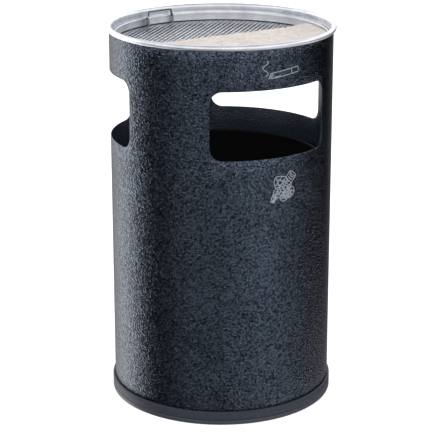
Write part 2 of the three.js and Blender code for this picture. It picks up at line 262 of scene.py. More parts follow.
def hammeredPowderCoat(values):
    # Hammer-finish powder coat on steel: dimples with metallic flake in light and dark specks.
    material, tree, shader = newMaterial("hammeredPowderCoat", {})
    place = addNode(tree, "ShaderNodeTexCoord").outputs["Object"]
    perMetre = 1000 / values["dimple"]
    dimples = addNode(tree, "ShaderNodeTexVoronoi", {"feature": "SMOOTH_F1"},
                      {"Vector": place, "Scale": perMetre, "Smoothness": 0.7})
    flakes = addNode(tree, "ShaderNodeTexNoise", None,
                     {"Vector": place, "Scale": perMetre * 0.9, "Detail": 2.0, "Roughness": 0.6})
    specks = addNode(tree, "ShaderNodeTexVoronoi", None, {"Vector": place, "Scale": perMetre})
    drift = addNode(tree, "ShaderNodeTexNoise", None,
                    {"Vector": place, "Scale": 1000 / values["drift"], "Detail": 1.0})
    worn = addNode(tree, "ShaderNodeMath", {"operation": "MULTIPLY_ADD"},
                   {0: drift.outputs["Fac"], 1: 0.25, 2: specks.outputs["Color"]})
    tone = addNode(tree, "ShaderNodeValToRGB", None, {"Fac": worn})
    rampColours(tone, [(0.25, linear(values["dark"])), (0.95, linear(values["flake"]))])
    axes = addNode(tree, "ShaderNodeSeparateXYZ", None, {"Vector": place})
    level = addNode(tree, "ShaderNodeCombineXYZ", None, {"X": axes.outputs["X"], "Y": axes.outputs["Y"]})
    reach = addNode(tree, "ShaderNodeVectorMath", {"operation": "LENGTH"}, {0: level})
    outside = addNode(tree, "ShaderNodeMath", {"operation": "GREATER_THAN"},
                      {0: reach.outputs["Value"], 1: values["innerRadius"] * mm})
    # The inner face is painted lighter and made less metallic: painted light for the light that comes in
    # through the openings.
    insidePaintedLight = addNode(tree, "ShaderNodeMix", {"data_type": "RGBA"}, {0: outside})
    insidePaintedLight.inputs[6].default_value = linear(values["inside"])
    tree.links.new(tone.outputs["Color"], insidePaintedLight.inputs[7])
    tree.links.new(insidePaintedLight.outputs[2], shader.inputs["Base Color"])
    metal = addNode(tree, "ShaderNodeMapRange", None, {"Value": outside, "To Min": 0.2, "To Max": 0.97})
    tree.links.new(metal.outputs["Result"], shader.inputs["Metallic"])
    gloss = addNode(tree, "ShaderNodeMapRange", None,
                    {"Value": flakes.outputs["Fac"], "To Min": 0.18, "To Max": 0.26})
    tree.links.new(gloss.outputs["Result"], shader.inputs["Roughness"])
    aside = addNode(tree, "ShaderNodeMath", {"operation": "ABSOLUTE"}, {0: axes.outputs["X"]})
    atBack = addNode(tree, "ShaderNodeMath", {"operation": "GREATER_THAN"}, {0: axes.outputs["Y"], 1: 0.1})
    ridge = addNode(tree, "ShaderNodeMapRange", {"interpolation_type": "SMOOTHSTEP"},
                    {"Value": aside, "From Max": values["seamWidth"] * mm, "To Min": 1.0, "To Max": 0.0})
    seam = addNode(tree, "ShaderNodeMath", {"operation": "MULTIPLY"},
                   {0: ridge.outputs["Result"], 1: atBack})
    height = addNode(tree, "ShaderNodeMath", {"operation": "MULTIPLY_ADD"},
                     {0: seam, 1: 0.7, 2: dimples.outputs["Distance"]})
    bump = addNode(tree, "ShaderNodeBump", None,
                   {"Height": height, "Distance": values["dimpleDepth"] * mm})
    tree.links.new(bump.outputs["Normal"], shader.inputs["Normal"])
    return material


smoothCoat = {
    "dark": "#252932",
    "light": "#323743",
    "orangePeel": 2.5,                 # mm
}


def smoothPowderCoat(name, values, gloss):
    # Plain powder coat over pressed steel: a faint orange-peel ripple in the reflections.
    material, tree, shader = newMaterial(name, {"Metallic": 0.1, "Specular IOR Level": 0.3})
    place = addNode(tree, "ShaderNodeTexCoord").outputs["Object"]
    ripple = addNode(tree, "ShaderNodeTexNoise", None,
                     {"Vector": place, "Scale": 1000 / values["orangePeel"], "Detail": 2.0})
    tone = addNode(tree, "ShaderNodeValToRGB", None, {"Fac": ripple.outputs["Fac"]})
    rampColours(tone, [(0.3, linear(values["dark"])), (0.7, linear(values["light"]))])
    finishSurface(shader, tone.outputs["Color"], ripple.outputs["Fac"], (gloss - 0.05, gloss + 0.05),
                  ripple.outputs["Fac"], 0.04 * mm)
    return material


spunMetal = {
    "bright": "#f1f3f7",
    "dull": "#d6d9df",
    "markSpacing": 0.7,                # mm between spinning marks, drawn coarser than the real ones to show
    "stain": 25,                       # mm
    "paintedShadeLevel": 585,                   # mm; below this the pan is painted near-black, as painted shade under the mesh
    "paintedShadeTone": "#17181b",
}


def spunAluminium(name, values, roughness):
    # Spun aluminium: fine rings round the axis stretch the highlights across them.
    material, tree, shader = newMaterial(name, {"Metallic": 1.0})
    place = addNode(tree, "ShaderNodeTexCoord").outputs["Object"]
    axes = addNode(tree, "ShaderNodeSeparateXYZ", None, {"Vector": place})
    level = addNode(tree, "ShaderNodeCombineXYZ", None, {"X": axes.outputs["X"], "Y": axes.outputs["Y"]})
    reach = addNode(tree, "ShaderNodeVectorMath", {"operation": "LENGTH"}, {0: level})
    across = addNode(tree, "ShaderNodeCombineXYZ", None,
                     {"X": reach.outputs["Value"], "Y": axes.outputs["Z"]})
    marks = addNode(tree, "ShaderNodeTexNoise", {"noise_dimensions": "2D"},
                    {"Vector": across, "Scale": 1000 / values["markSpacing"], "Detail": 2.0})
    stain = addNode(tree, "ShaderNodeTexNoise", None,
                    {"Vector": place, "Scale": 1000 / values["stain"], "Detail": 4.0, "Roughness": 0.6})
    tone = addNode(tree, "ShaderNodeValToRGB", None, {"Fac": stain.outputs["Fac"]})
    rampColours(tone, [(0.3, linear(values["dull"])), (0.7, linear(values["bright"]))])
    wobble = addNode(tree, "ShaderNodeMath", {"operation": "MULTIPLY_ADD"},
                     {0: stain.outputs["Fac"], 1: 4 * mm, 2: axes.outputs["Z"]})
    # The pan is painted near-black below a wavy level: painted shade where the mesh shades the pan's floor.
    ash = addNode(tree, "ShaderNodeMapRange", {"interpolation_type": "SMOOTHSTEP"},
                  {"Value": wobble, "From Min": values["paintedShadeLevel"] * mm,
                   "From Max": (values["paintedShadeLevel"] + 4) * mm, "To Min": 1.0, "To Max": 0.0})
    paintedShadeMix = addNode(tree, "ShaderNodeMix", {"data_type": "RGBA"}, {0: ash.outputs["Result"]})
    tree.links.new(tone.outputs["Color"], paintedShadeMix.inputs[6])
    paintedShadeMix.inputs[7].default_value = linear(values["paintedShadeTone"])
    finishSurface(shader, paintedShadeMix.outputs[2], stain.outputs["Fac"], (roughness - 0.06, roughness + 0.06),
                  marks.outputs["Fac"], 0.02 * mm)
    return material


zincMetal = {
    "bright": "#d3d6da",
    "dull": "#a4a8ae",
    "spangle": 4,                      # mm across a zinc crystal
}


def galvanisedSteel(name, values, roughness):
    # Hot-dip zinc: patches of slightly different grey and gloss, where the crystals lie.
    material, tree, shader = newMaterial(name, {"Metallic": 1.0})
    place = addNode(tree, "ShaderNodeTexCoord").outputs["Object"]
    crystals = addNode(tree, "ShaderNodeTexVoronoi", None,
                       {"Vector": place, "Scale": 1000 / values["spangle"]})
    tone = addNode(tree, "ShaderNodeValToRGB", None, {"Fac": crystals.outputs["Color"]})
    rampColours(tone, [(0.2, linear(values["dull"])), (0.8, linear(values["bright"]))])
    finishSurface(shader, tone.outputs["Color"], crystals.outputs["Color"],
                  (roughness - 0.08, roughness + 0.08), crystals.outputs["Distance"], 0.03 * mm)
    return material


drySand = {
    "pale": "#f6f1ec",
    "warm": "#e9e0d7",
    "dark": "#a39887",
    "grain": 1.6,                      # mm, drawn coarser than real grains so that they show
    "raked": 14,                       # mm between soft furrows
}


def quartzSand(values):
    # Dry quartz sand: pale matt grains with a few dark ones.
    material, tree, shader = newMaterial("quartzSand", {"Roughness": 0.95, "Specular IOR Level": 0.25})
    place = addNode(tree, "ShaderNodeTexCoord").outputs["Object"]
    grains = addNode(tree, "ShaderNodeTexVoronoi", None, {"Vector": place, "Scale": 1000 / values["grain"]})
    drift = addNode(tree, "ShaderNodeTexNoise", None,
                    {"Vector": place, "Scale": 1000 / values["raked"], "Detail": 4.0})
    tone = addNode(tree, "ShaderNodeValToRGB", None, {"Fac": grains.outputs["Color"]})
    rampColours(tone, [(0.04, linear(values["dark"])), (0.16, linear(values["warm"])),
                       (0.7, linear(values["pale"]))])
    patches = addNode(tree, "ShaderNodeValToRGB", None, {"Fac": drift.outputs["Fac"]})
    rampColours(patches, [(0.35, linear("#f3ede7")), (0.65, linear("#ffffff"))])
    mixed = addNode(tree, "ShaderNodeMix", {"data_type": "RGBA", "blend_type": "MULTIPLY"}, {0: 1.0})
    tree.links.new(tone.outputs["Color"], mixed.inputs[6])
    tree.links.new(patches.outputs["Color"], mixed.inputs[7])
    tree.links.new(mixed.outputs[2], shader.inputs["Base Color"])
    bump = addNode(tree, "ShaderNodeBump", None, {"Height": grains.outputs["Distance"], "Distance": 0.5 * mm})
    tree.links.new(bump.outputs["Normal"], shader.inputs["Normal"])
    return material


def mouldedPlastic(name, dark, light, roughness):
    # Moulded plastic: fine erosion grain and a slow change of tone.
    material, tree, shader = newMaterial(name, {"IOR": 1.49})
    place = addNode(tree, "ShaderNodeTexCoord").outputs["Object"]
    grain = addNode(tree, "ShaderNodeTexNoise", None, {"Vector": place, "Scale": 900.0, "Detail": 3.0})
    tone = addNode(tree, "ShaderNodeValToRGB", None, {"Fac": grain.outputs["Fac"]})
    rampColours(tone, [(0.35, linear(dark)), (0.65, linear(light))])
    finishSurface(shader, tone.outputs["Color"], grain.outputs["Fac"], (roughness - 0.05, roughness + 0.05),
                  grain.outputs["Fac"], 0.03 * mm)
    return material


def screenPrint():
    # Grey ink printed over the hammered coat, so the dimples still break it up.
    material, tree, shader = newMaterial("screenPrint", {"IOR": 1.5})
    place = addNode(tree, "ShaderNodeTexCoord").outputs["Object"]
    perMetre = 1000 / hammeredCoat["dimple"]
    dimples = addNode(tree, "ShaderNodeTexVoronoi", {"feature": "SMOOTH_F1"},
                      {"Vector": place, "Scale": perMetre, "Smoothness": 0.7})
    wear = addNode(tree, "ShaderNodeTexNoise", None, {"Vector": place, "Scale": perMetre, "Detail": 2.0})
    tone = addNode(tree, "ShaderNodeValToRGB", None, {"Fac": wear.outputs["Fac"]})
    rampColours(tone, [(0.3, linear("#5f646f")), (0.6, linear("#8a8f9a"))])
    finishSurface(shader, tone.outputs["Color"], wear.outputs["Fac"], (0.5, 0.7),
                  dimples.outputs["Distance"], hammeredCoat["dimpleDepth"] * 0.6 * mm)
    return material


hammered = hammeredPowderCoat(hammeredCoat)
bandCoat = smoothPowderCoat("smoothPowderCoat", smoothCoat, 0.5)
linerTones = {"dark": "#060607", "light": "#0b0b0d", "orangePeel": 3.0}
linerCoat = smoothPowderCoat("blackLinerCoat", linerTones, 0.6)
aluminium = spunAluminium("spunAluminium", spunMetal, 0.46)
zincWire = galvanisedSteel("galvanisedWire", zincMetal, 0.34)
handleWire = galvanisedSteel("dulledWire", {"bright": "#74787f", "dull": "#3f4248", "spangle": 3}, 0.4)
# Near-black steel for the mesh binding: painted shade for the dark gap round the mesh's edge.
bindingShadeSteel = galvanisedSteel("bindingPaintedShade", {"bright": "#3a3d42", "dull": "#1d1f23", "spangle": 3}, 0.5)
zincRivet = galvanisedSteel("zincPlatedRivet", {**zincMetal, "spangle": 1.5}, 0.3)
sandFinish = quartzSand(drySand)
ringPlastic = mouldedPlastic("mouldedVinyl", "#2b2d35", "#363943", 0.42)
gripPlastic = mouldedPlastic("mouldedPolyethylene", "#101113", "#17181b", 0.45)
ink = screenPrint()
print("materials mixed")


shell = {
    "sheet": 1.2,
    "openingLow": 438,
    "openingHigh": 546.5,
    "corner": 20,
    "openings": [(-90.9, 67.3), (31.7, 70.2), (153.4, 70.2)],    # middle and width of each, in degrees
    "lowRows": 14,
    "middleRows": 6,
    "highRows": 4,
    "openingColumns": 48,
    "postColumns": 30,
    "cornerColumns": 8,
    "edgeRound": 0.4,
}


def shellColumns(values):
    # Each column is (angle, how far the opening's corner closes it, whether sheet fills the middle).
    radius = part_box("body_shell")[1].x / mm
    cornerAngle = math.degrees(values["corner"] / radius)
    columns = []
    openings = values["openings"]
    for (centre, width), (nextCentre, nextWidth) in zip(openings, openings[1:] + openings[:1]):
        half = width / 2
        postAngle = (nextCentre - centre) % 360 - half - nextWidth / 2
        bends = [math.radians(90 * i / values["cornerColumns"]) for i in range(values["cornerColumns"] + 1)]
        corner = [(half - cornerAngle * (1 - math.cos(t)), values["corner"] * (1 - math.sin(t)))
                  for t in bends]
        for i, (angle, inset) in enumerate(corner):
            columns.append((centre - angle, inset, i == 0))
        reach = half - cornerAngle
        for i in range(1, values["openingColumns"]):
            columns.append((centre - reach + 2 * reach * i / values["openingColumns"], 0, False))
        for i, (angle, inset) in reversed(list(enumerate(corner))):
            columns.append((centre + angle, inset, i == 0))
        for i in range(1, values["postColumns"]):
            columns.append((centre + half + postAngle * i / values["postColumns"], values["corner"], True))
    return columns


def makeShell(values):
    low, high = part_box("body_shell")
    radius = high.x
    shape = bmesh.new()
    openRows = range(values["lowRows"], values["lowRows"] + values["middleRows"])
    columns = []
    for angle, inset, filled in shellColumns(values):
        openLow = (values["openingLow"] + inset) * mm
        openHigh = (values["openingHigh"] - inset) * mm
        stretches = [(low.z, openLow, values["lowRows"]), (openLow, openHigh, values["middleRows"]),
                     (openHigh, high.z, values["highRows"])]
        x = radius * math.cos(math.radians(angle))
        y = radius * math.sin(math.radians(angle))
        levels = [start + (end - start) * i / rows for start, end, rows in stretches for i in range(rows)]
        levels.append(high.z)
        verts = [None if i in openRows[1:] and not filled else shape.verts.new((x, y, z))
                 for i, z in enumerate(levels)]
        columns.append((verts, filled))
    for (left, leftFilled), (right, rightFilled) in zip(columns, columns[1:] + columns[:1]):
        for i in range(len(left) - 1):
            if i not in openRows or (leftFilled and rightFilled):
                shape.faces.new((left[i], right[i], right[i + 1], left[i + 1]))
    piece = objectFrom("housing_shell", shape, hammered)
    wall = piece.modifiers.new("wall", "SOLIDIFY")
    wall.thickness = values["sheet"] * mm
    wall.offset = -1
    edge = piece.modifiers.new("edge", "BEVEL")
    edge.width = values["edgeRound"] * mm
    edge.segments = 2
    edge.limit_method = "ANGLE"
    applied(piece, hammered)
    settle(piece, "housing", "hammered_paint", "body_shell")
    return piece


makeShell(shell)
print("housing shell rolled")


base = {
    "bandSheet": 1.6,
    "bandShoulder": 2.2,
    "bandFoot": 1.2,
    "ringShoulder": 1.3,
}


def makeBaseBand(values):
    # A pressed ring: rounded shoulder against the shell, and a foot turned in just above the floor ring.
    low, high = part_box("base_band")
    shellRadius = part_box("body_shell")[1].x
    outer = high.x
    sheet = values["bandSheet"] * mm
    shoulder = values["bandShoulder"] * mm
    foot = values["bandFoot"] * mm
    top = high.z
    outline = [(outer - sheet, low.z + foot)]
    outline += arcPoints((outer - foot, low.z + foot), foot, -90, 0, 4)
    outline += arcPoints((outer - shoulder, top - shoulder), shoulder, 0, 90, 5)
    outline += [(shellRadius + 0.4 * mm, top - 0.2 * mm), (shellRadius + 0.3 * mm, top - 0.9 * mm)]
    outline += [(shellRadius + 0.5 * mm, top - sheet), (outer - sheet, top - shoulder)]
    piece = turned("foot_band", outline, bandCoat)
    settle(piece, "housing", "base_paint", "base_band")


def makeFloorRing(values):
    low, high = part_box("floor_ring")
    shoulder = values["ringShoulder"] * mm
    inner = high.x - 11.8 * mm
    outline = [(inner, low.z), (high.x - shoulder, low.z)]
    outline += arcPoints((high.x - shoulder, low.z + shoulder), shoulder, -75, 0, 4)
    outline += arcPoints((high.x - shoulder, high.z - shoulder), shoulder, 0, 90, 4)
    outline += [(inner, high.z)]
    piece = turned("floor_ring_moulding", outline, ringPlastic)
    settle(piece, "housing", "floor_rubber", "floor_ring")


def makeBasePlate():
    # A shallow dish with pressed stiffening rings.
    low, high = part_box("base_plate")
    sheet = 1.2 * mm
    wall = high.x - sheet / 2
    middle = low.z + sheet / 2
    path = [(0, middle), (0.060, middle), (0.063, middle + 1.4 * mm), (0.070, middle + 1.4 * mm),
            (0.073, middle), (0.130, middle), (0.133, middle + 1.4 * mm), (0.140, middle + 1.4 * mm),
            (0.143, middle), (wall, middle), (wall, high.z)]
    outline = sheetOutline(rounded(path, 2 * mm, 3), sheet)
    outline[-1] = (0, outline[-1][1])
    outline[0] = (0, outline[0][1])
    piece = turned("base_dish", outline, bandCoat)
    settle(piece, "housing", "base_paint", "base_plate")


rivets = {
    "headRadius": 3.2,
    "headHeight": 1.3,
    "shankRadius": 1.6,
    "sides": 20,
}


def rivetSeed(values, grip):
    # One blind rivet along X: a dome outside, a flat flange inside, and the grip length between.
    head = values["headRadius"] * mm
    rise = values["headHeight"] * mm
    shank = values["shankRadius"] * mm
    dome = [(head * math.cos(math.radians(a)), grip + rise * math.sin(math.radians(a)))
            for a in (0, 25, 50, 75)]
    outline = [(0, -0.9 * mm), (head * 0.9, -0.9 * mm), (head, -0.5 * mm)]
    outline += [(head, 0), (shank, 0), (shank, grip)]
    piece = turned("rivet", outline + dome + [(0, grip + rise)], zincRivet, values["sides"])
    piece.data.transform(Matrix.Rotation(math.radians(90), 4, "Y"))
    return piece


def rivetTree():
    # Rivets at equal angles round the bin, pointing outwards.
    tree, given = nodeTree("rivetRing", {
        "Rivet": ("NodeSocketObject", None),
        "Count": ("NodeSocketInt", 6),
        "Radius": ("NodeSocketFloat", 0.18),
        "Level": ("NodeSocketFloat", 0.0),
        "First Angle": ("NodeSocketFloat", 0.0),
        "Material": ("NodeSocketMaterial", None),
    })
    ring = addNode(tree, "GeometryNodePoints", None, {"Count": given.outputs["Count"]})
    number = addNode(tree, "GeometryNodeInputIndex")
    step = addNode(tree, "ShaderNodeMath", {"operation": "DIVIDE"}, {0: math.tau, 1: given.outputs["Count"]})
    angle = addNode(tree, "ShaderNodeMath", {"operation": "MULTIPLY_ADD"},
                    {0: number, 1: step, 2: given.outputs["First Angle"]})
    turn = addNode(tree, "ShaderNodeCombineXYZ", None, {"Z": angle})
    source = addNode(tree, "GeometryNodeObjectInfo", None, {"Object": given.outputs["Rivet"]})
    reach = addNode(tree, "ShaderNodeCombineXYZ", None,
                    {"X": given.outputs["Radius"], "Z": given.outputs["Level"]})
    spot = addNode(tree, "ShaderNodeVectorRotate", {"rotation_type": "EULER_XYZ"},
                   {"Vector": reach, "Rotation": turn})
    placed = addNode(tree, "GeometryNodeSetPosition", None, {"Geometry": ring, "Position": spot})
    copies = addNode(tree, "GeometryNodeInstanceOnPoints", None,
                     {"Points": placed, "Instance": source.outputs["Geometry"],
                      "Rotation": turn})
    endTree(tree, copies)
    return tree


rivetRing = rivetTree()


def makeBaseRivets():
    low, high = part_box("base_rivet_1")
    names = [f"base_rivet_{i}" for i in range(1, 7)]
    inside = low.x + 1.0 * mm
    seed = rivetSeed({**rivets, "headHeight": 0.9}, high.x - 1.0 * mm - inside)
    piece = grown("base_rivets", rivetRing, {
        "Rivet": seed, "Count": len(names), "Radius": inside,
        "Level": (low.z + high.z) / 2, "First Angle": 0.0,
    }, zincRivet)
    bpy.data.objects.remove(seed)
    settle(piece, "housing", "rivet_steel", *names)


makeBaseBand(base)
makeFloorRing(base)
makeBasePlate()
makeBaseRivets()
print("base fitted")


tray = {
    "sheet": 1.0,
    "bead": 4.35,
    "grooveLevel": 606.5,
    "grooveDepth": 0.25,
    "ledge": 4.2,
    "ledgeBend": 1.5,
    "floorBend": 4,
}


def makeTray(values):
    # Spun pan: floor, lower wall, ledge for the sieve, upper wall with a pressed groove, and a rolled rim.
    low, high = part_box("ash_tray")
    sheet = values["sheet"] * mm
    curl = values["bead"] * mm - sheet / 2
    rimCentre = (high.x - values["bead"] * mm, high.z - values["bead"] * mm)
    wall = rimCentre[0] - curl
    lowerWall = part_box("sieve_hoop")[1].x + 1.3 * mm + sheet / 2 - values["ledge"] * mm
    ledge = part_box("sieve_hoop")[0].z - 0.4 * mm - sheet / 2
    floor = low.z + sheet / 2
    groove = values["grooveLevel"] * mm
    depth = values["grooveDepth"] * mm
    bend = values["floorBend"] * mm
    path = [(0, floor)] + arcPoints((lowerWall - bend, floor + bend), bend, -90, 0, 6)
    steps = [(lowerWall, floor + 2 * bend), (lowerWall, ledge), (wall, ledge), (wall, groove - 2 * mm)]
    path += rounded(steps, values["ledgeBend"] * mm)
    path += [(wall + depth, groove - 1 * mm), (wall + depth, groove + 1 * mm), (wall, groove + 2 * mm)]
    path += arcPoints(rimCentre, curl, 180, -140, 30)
    outline = sheetOutline(path, sheet)
    piece = turned("ash_pan", outline, aluminium, 256)
    settle(piece, "tray", "aluminium", "ash_tray")


hoop = {
    "sheet": 0.8,
    "flange": 4,
    "lip": 0.7,
    "binding": 3.0,
    "bindingHeight": 1.9,
}


def makeHoop(values):
    # The sieve's upright band, with a rounded top edge and a foot turned in under the mesh.
    low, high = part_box("sieve_hoop")
    sheet = values["sheet"] * mm
    lip = values["lip"] * mm
    wall = high.x - sheet / 2
    foot = low.z + sheet / 2
    shoulder = high.z - sheet / 2 - lip
    path = rounded([(wall - values["flange"] * mm, foot), (wall, foot), (wall, shoulder)], 1.2 * mm)
    path += arcPoints((wall - lip, shoulder), lip, 20, 180, 6)
    piece = turned("sieve_band", sheetOutline(path, sheet), aluminium, 256)
    settle(piece, "sieve", "aluminium", "sieve_hoop")
    inside = wall - sheet / 2 - 0.05 * mm
    width = values["binding"] * mm
    top = foot + values["bindingHeight"] * mm
    binding = [(inside - width, foot + sheet / 2), (inside, foot + sheet / 2), (inside, top)]
    binding += arcPoints((inside - width / 2, top - width / 4), width / 4, 70, 180, 5)
    # The binding ring is near-black: painted shade for the dark gap between the mesh and the band.
    ring = turned("mesh_binding", binding, bindingShadeSteel, 256)
    settle(ring, "sieve", "galvanised_wire")


weave = {
    "pitch": 7.5,
    "barWidth": 3.3,
    "barThickness": 0.4,
    "crossWidth": 0.9,
    "crossThickness": 0.4,
    "barWave": 0.03,
    "crossWave": 0.42,
    "margin": 2.2,                     # kept back from the edge, inside the binding
    "turn": 45,                        # degrees, the way that one set of wires runs
}


def weaveTree():
    # Weave inside a circle: flat, nearly straight strips with narrow ones crossed over and under them.
    tree, given = nodeTree("wireWeave", {
        "Radius": ("NodeSocketFloat", 0.17),
        "Pitch": ("NodeSocketFloat", 0.005),
        "Bar Width": ("NodeSocketFloat", 0.003),
        "Bar Thickness": ("NodeSocketFloat", 0.0004),
        "Cross Width": ("NodeSocketFloat", 0.001),
        "Cross Thickness": ("NodeSocketFloat", 0.0004),
        "Bar Wave": ("NodeSocketFloat", 0.0001),
        "Cross Wave": ("NodeSocketFloat", 0.001),
        "Level": ("NodeSocketFloat", 0.0),
        "Turn": ("NodeSocketFloat", 0.0),
        "Material": ("NodeSocketMaterial", None),
    })
    reach = addNode(tree, "ShaderNodeMath", {"operation": "DIVIDE"},
                    {0: given.outputs["Radius"], 1: given.outputs["Pitch"]})
    side = addNode(tree, "ShaderNodeMath", {"operation": "FLOOR"}, {0: reach})
    count = addNode(tree, "ShaderNodeMath", {"operation": "MULTIPLY_ADD"}, {0: side, 1: 2.0, 2: 1.0})
    rows = addNode(tree, "GeometryNodePoints", None, {"Count": count})
    index = addNode(tree, "GeometryNodeInputIndex")
    row = addNode(tree, "ShaderNodeMath", {"operation": "SUBTRACT"}, {0: index, 1: side})
    offset = addNode(tree, "ShaderNodeMath", {"operation": "MULTIPLY"},
                     {0: row, 1: given.outputs["Pitch"]})
    ratio = addNode(tree, "ShaderNodeMath", {"operation": "DIVIDE"},
                    {0: offset, 1: given.outputs["Radius"]})
    angle = addNode(tree, "ShaderNodeMath", {"operation": "ARCSINE"}, {0: ratio})
    cosine = addNode(tree, "ShaderNodeMath", {"operation": "COSINE"}, {0: angle})
    half = addNode(tree, "ShaderNodeMath", {"operation": "MULTIPLY"},
                   {0: cosine, 1: given.outputs["Radius"]})
    spot = addNode(tree, "ShaderNodeCombineXYZ", None, {"Y": offset})
    placed = addNode(tree, "GeometryNodeSetPosition", None, {"Geometry": rows, "Position": spot})
    unit = addNode(tree, "GeometryNodeCurvePrimitiveLine", None, {"Start": (-1, 0, 0), "End": (1, 0, 0)})
    stretch = addNode(tree, "ShaderNodeCombineXYZ", None, {"X": half, "Y": 1.0, "Z": 1.0})
    wires = addNode(tree, "GeometryNodeInstanceOnPoints", None,
                    {"Points": placed, "Instance": unit, "Scale": stretch})
    loose = addNode(tree, "GeometryNodeRealizeInstances", None, {"Geometry": wires})
    spacing = addNode(tree, "ShaderNodeMath", {"operation": "MULTIPLY"}, {0: given.outputs["Pitch"], 1: 0.5})
    finer = addNode(tree, "GeometryNodeResampleCurve", {"mode": "LENGTH"},
                    {"Curve": loose, "Length": spacing})
    axes = addNode(tree, "ShaderNodeSeparateXYZ", None,
                   {"Vector": addNode(tree, "GeometryNodeInputPosition")})
    along = addNode(tree, "ShaderNodeMath", {"operation": "DIVIDE"},
                    {0: axes.outputs["X"], 1: given.outputs["Pitch"]})
    aside = addNode(tree, "ShaderNodeMath", {"operation": "DIVIDE"},
                    {0: axes.outputs["Y"], 1: given.outputs["Pitch"]})
    both = addNode(tree, "ShaderNodeMath", {"operation": "ADD"}, {0: along, 1: aside})
    phase = addNode(tree, "ShaderNodeMath", {"operation": "MULTIPLY"}, {0: both, 1: math.pi})
    wave = addNode(tree, "ShaderNodeMath", {"operation": "COSINE"}, {0: phase})
    joined = addNode(tree, "GeometryNodeJoinGeometry")
    for kind, crossing, sign in (("Bar", 0, 1), ("Cross", math.pi / 2, -1)):
        section = addNode(tree, "GeometryNodeCurvePrimitiveQuadrilateral", None,
                          {"Width": given.outputs[f"{kind} Width"],
                           "Height": given.outputs[f"{kind} Thickness"]})
        lift = addNode(tree, "ShaderNodeMath", {"operation": "MULTIPLY"},
                       {0: wave, 1: given.outputs[f"{kind} Wave"]})
        signed = addNode(tree, "ShaderNodeMath", {"operation": "MULTIPLY_ADD"},
                         {0: lift, 1: float(sign), 2: given.outputs["Level"]})
        rise = addNode(tree, "ShaderNodeCombineXYZ", None, {"Z": signed})
        bent = addNode(tree, "GeometryNodeSetPosition", None, {"Geometry": finer, "Offset": rise})
        solid = addNode(tree, "GeometryNodeCurveToMesh", None,
                        {"Curve": bent, "Profile Curve": section, "Fill Caps": True})
        heading = addNode(tree, "ShaderNodeMath", {"operation": "ADD"},
                          {0: given.outputs["Turn"], 1: crossing})
        turn = addNode(tree, "ShaderNodeCombineXYZ", None, {"Z": heading})
        laid = addNode(tree, "GeometryNodeTransform", None, {"Geometry": solid, "Rotation": turn})
        tree.links.new(laid.outputs[0], joined.inputs[0])
    endTree(tree, joined)
    return tree


def makeWeave(values):
    low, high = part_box("sieve_mesh")
    piece = grown("woven_mesh", weaveTree(), {
        "Radius": high.x - values["margin"] * mm, "Pitch": values["pitch"] * mm,
        "Bar Width": values["barWidth"] * mm, "Bar Thickness": values["barThickness"] * mm,
        "Cross Width": values["crossWidth"] * mm, "Cross Thickness": values["crossThickness"] * mm,
        "Bar Wave": values["barWave"] * mm, "Cross Wave": values["crossWave"] * mm,
        "Level": (low.z + high.z) / 2, "Turn": math.radians(values["turn"]),
    }, zincWire, 60)
    settle(piece, "sieve", "galvanised_wire", "sieve_mesh")


handle = {
    "wire": 1.2,
    "bend": 3.0,
    "rise": 11,
    "lugSheet": 1.4,
    "lugEdge": 0.35,
}


def wireTree():
    # A round wire along a path mesh, with closed ends.
    tree, given = nodeTree("bentWire", {
        "Path": ("NodeSocketObject", None),
        "Wire Radius": ("NodeSocketFloat", 0.001),
        "Sides": ("NodeSocketInt", 12),
        "Step": ("NodeSocketFloat", 0.001),
        "Material": ("NodeSocketMaterial", None),
    })
    source = addNode(tree, "GeometryNodeObjectInfo", None, {"Object": given.outputs["Path"]})
    curve = addNode(tree, "GeometryNodeMeshToCurve", None, {"Mesh": source.outputs["Geometry"]})
    even = addNode(tree, "GeometryNodeResampleCurve", {"mode": "LENGTH"},
                   {"Curve": curve, "Length": given.outputs["Step"]})
    circle = addNode(tree, "GeometryNodeCurvePrimitiveCircle", None,
                     {"Radius": given.outputs["Wire Radius"], "Resolution": given.outputs["Sides"]})
    solid = addNode(tree, "GeometryNodeCurveToMesh", None,
                    {"Curve": even, "Profile Curve": circle, "Fill Caps": True})
    endTree(tree, solid)
    return tree


bentWire = wireTree()


def wirePiece(name, points, radius, step, material):
    data = bpy.data.meshes.new("path")
    data.from_pydata(points, [(i, i + 1) for i in range(len(points) - 1)], [])
    path = bpy.data.objects.new("path", data)
    bpy.context.scene.collection.objects.link(path)
    sizes = {"Path": path, "Wire Radius": radius, "Sides": 12, "Step": step}
    piece = grown(name, bentWire, sizes, material, 60)
    bpy.data.objects.remove(path)
    return piece


def makeHandle(values):
    # The bail is a wire bracket whose ends turn out through the two lugs.
    joint = next(joint for joint in frame["joints"] if joint["name"] == "rear_handle_fold")
    pivot = Vector(joint["pos_m"])
    along = Vector(joint["axis"]).normalized()
    lugs = [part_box(f"rear_handle_lug_{side}") for side in ("left", "right")]
    middles = [(low + high) / 2 for low, high in lugs]
    half = (middles[1] - middles[0]).length / 2
    leg = half - (values["lugSheet"] / 2 + 0.3 + values["wire"]) * mm
    end = half + (values["lugSheet"] / 2 + 1.6) * mm
    rise = values["rise"] * mm
    flat = [(-end, 0), (-leg, 0), (-leg, rise), (leg, rise), (leg, 0), (end, 0)]
    bent = rounded(flat, values["bend"] * mm, 6)
    points = [pivot + along * across + Vector((0, 0, up)) for across, up in bent]
    piece = wirePiece("sieve_handle", points, values["wire"] * mm, 0.8 * mm, handleWire)
    settle(piece, "rear_handle", "galvanised_wire", "rear_handle_bail")


